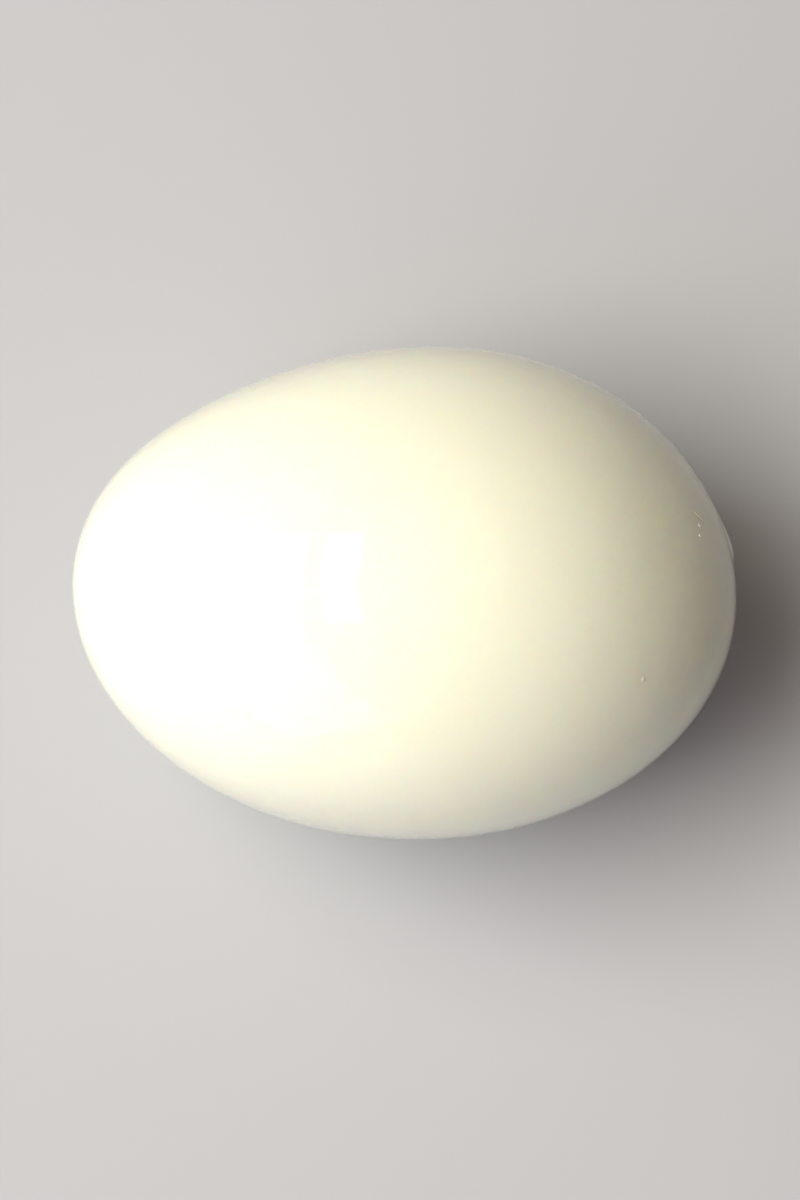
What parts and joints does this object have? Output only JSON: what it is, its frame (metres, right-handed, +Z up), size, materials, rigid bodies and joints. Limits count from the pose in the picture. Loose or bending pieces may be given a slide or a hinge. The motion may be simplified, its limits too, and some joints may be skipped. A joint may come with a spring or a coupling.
{
  "type": "hard-boiled egg",
  "caption": "Whole peeled hard-boiled egg lying on its side, smooth glossy ivory white, pointed at one end and blunt at the other.",
  "frame": {"origin": "middle of the bounding box in X and Y, at the height of the flat spot that the egg rests on", "axes": "+X towards the blunt end along the egg's length, +Y to one side, +Z up from the surface it lies on"},
  "size_m": [0.056, 0.0414, 0.0412],
  "materials": {
    "egg_white": "moist, glossy, slightly translucent cooked egg white, warm ivory with a faint yellow cast"
  },
  "bodies": {
    "root": {"boiled_egg": "egg_white"}
  },
  "joints": []
}
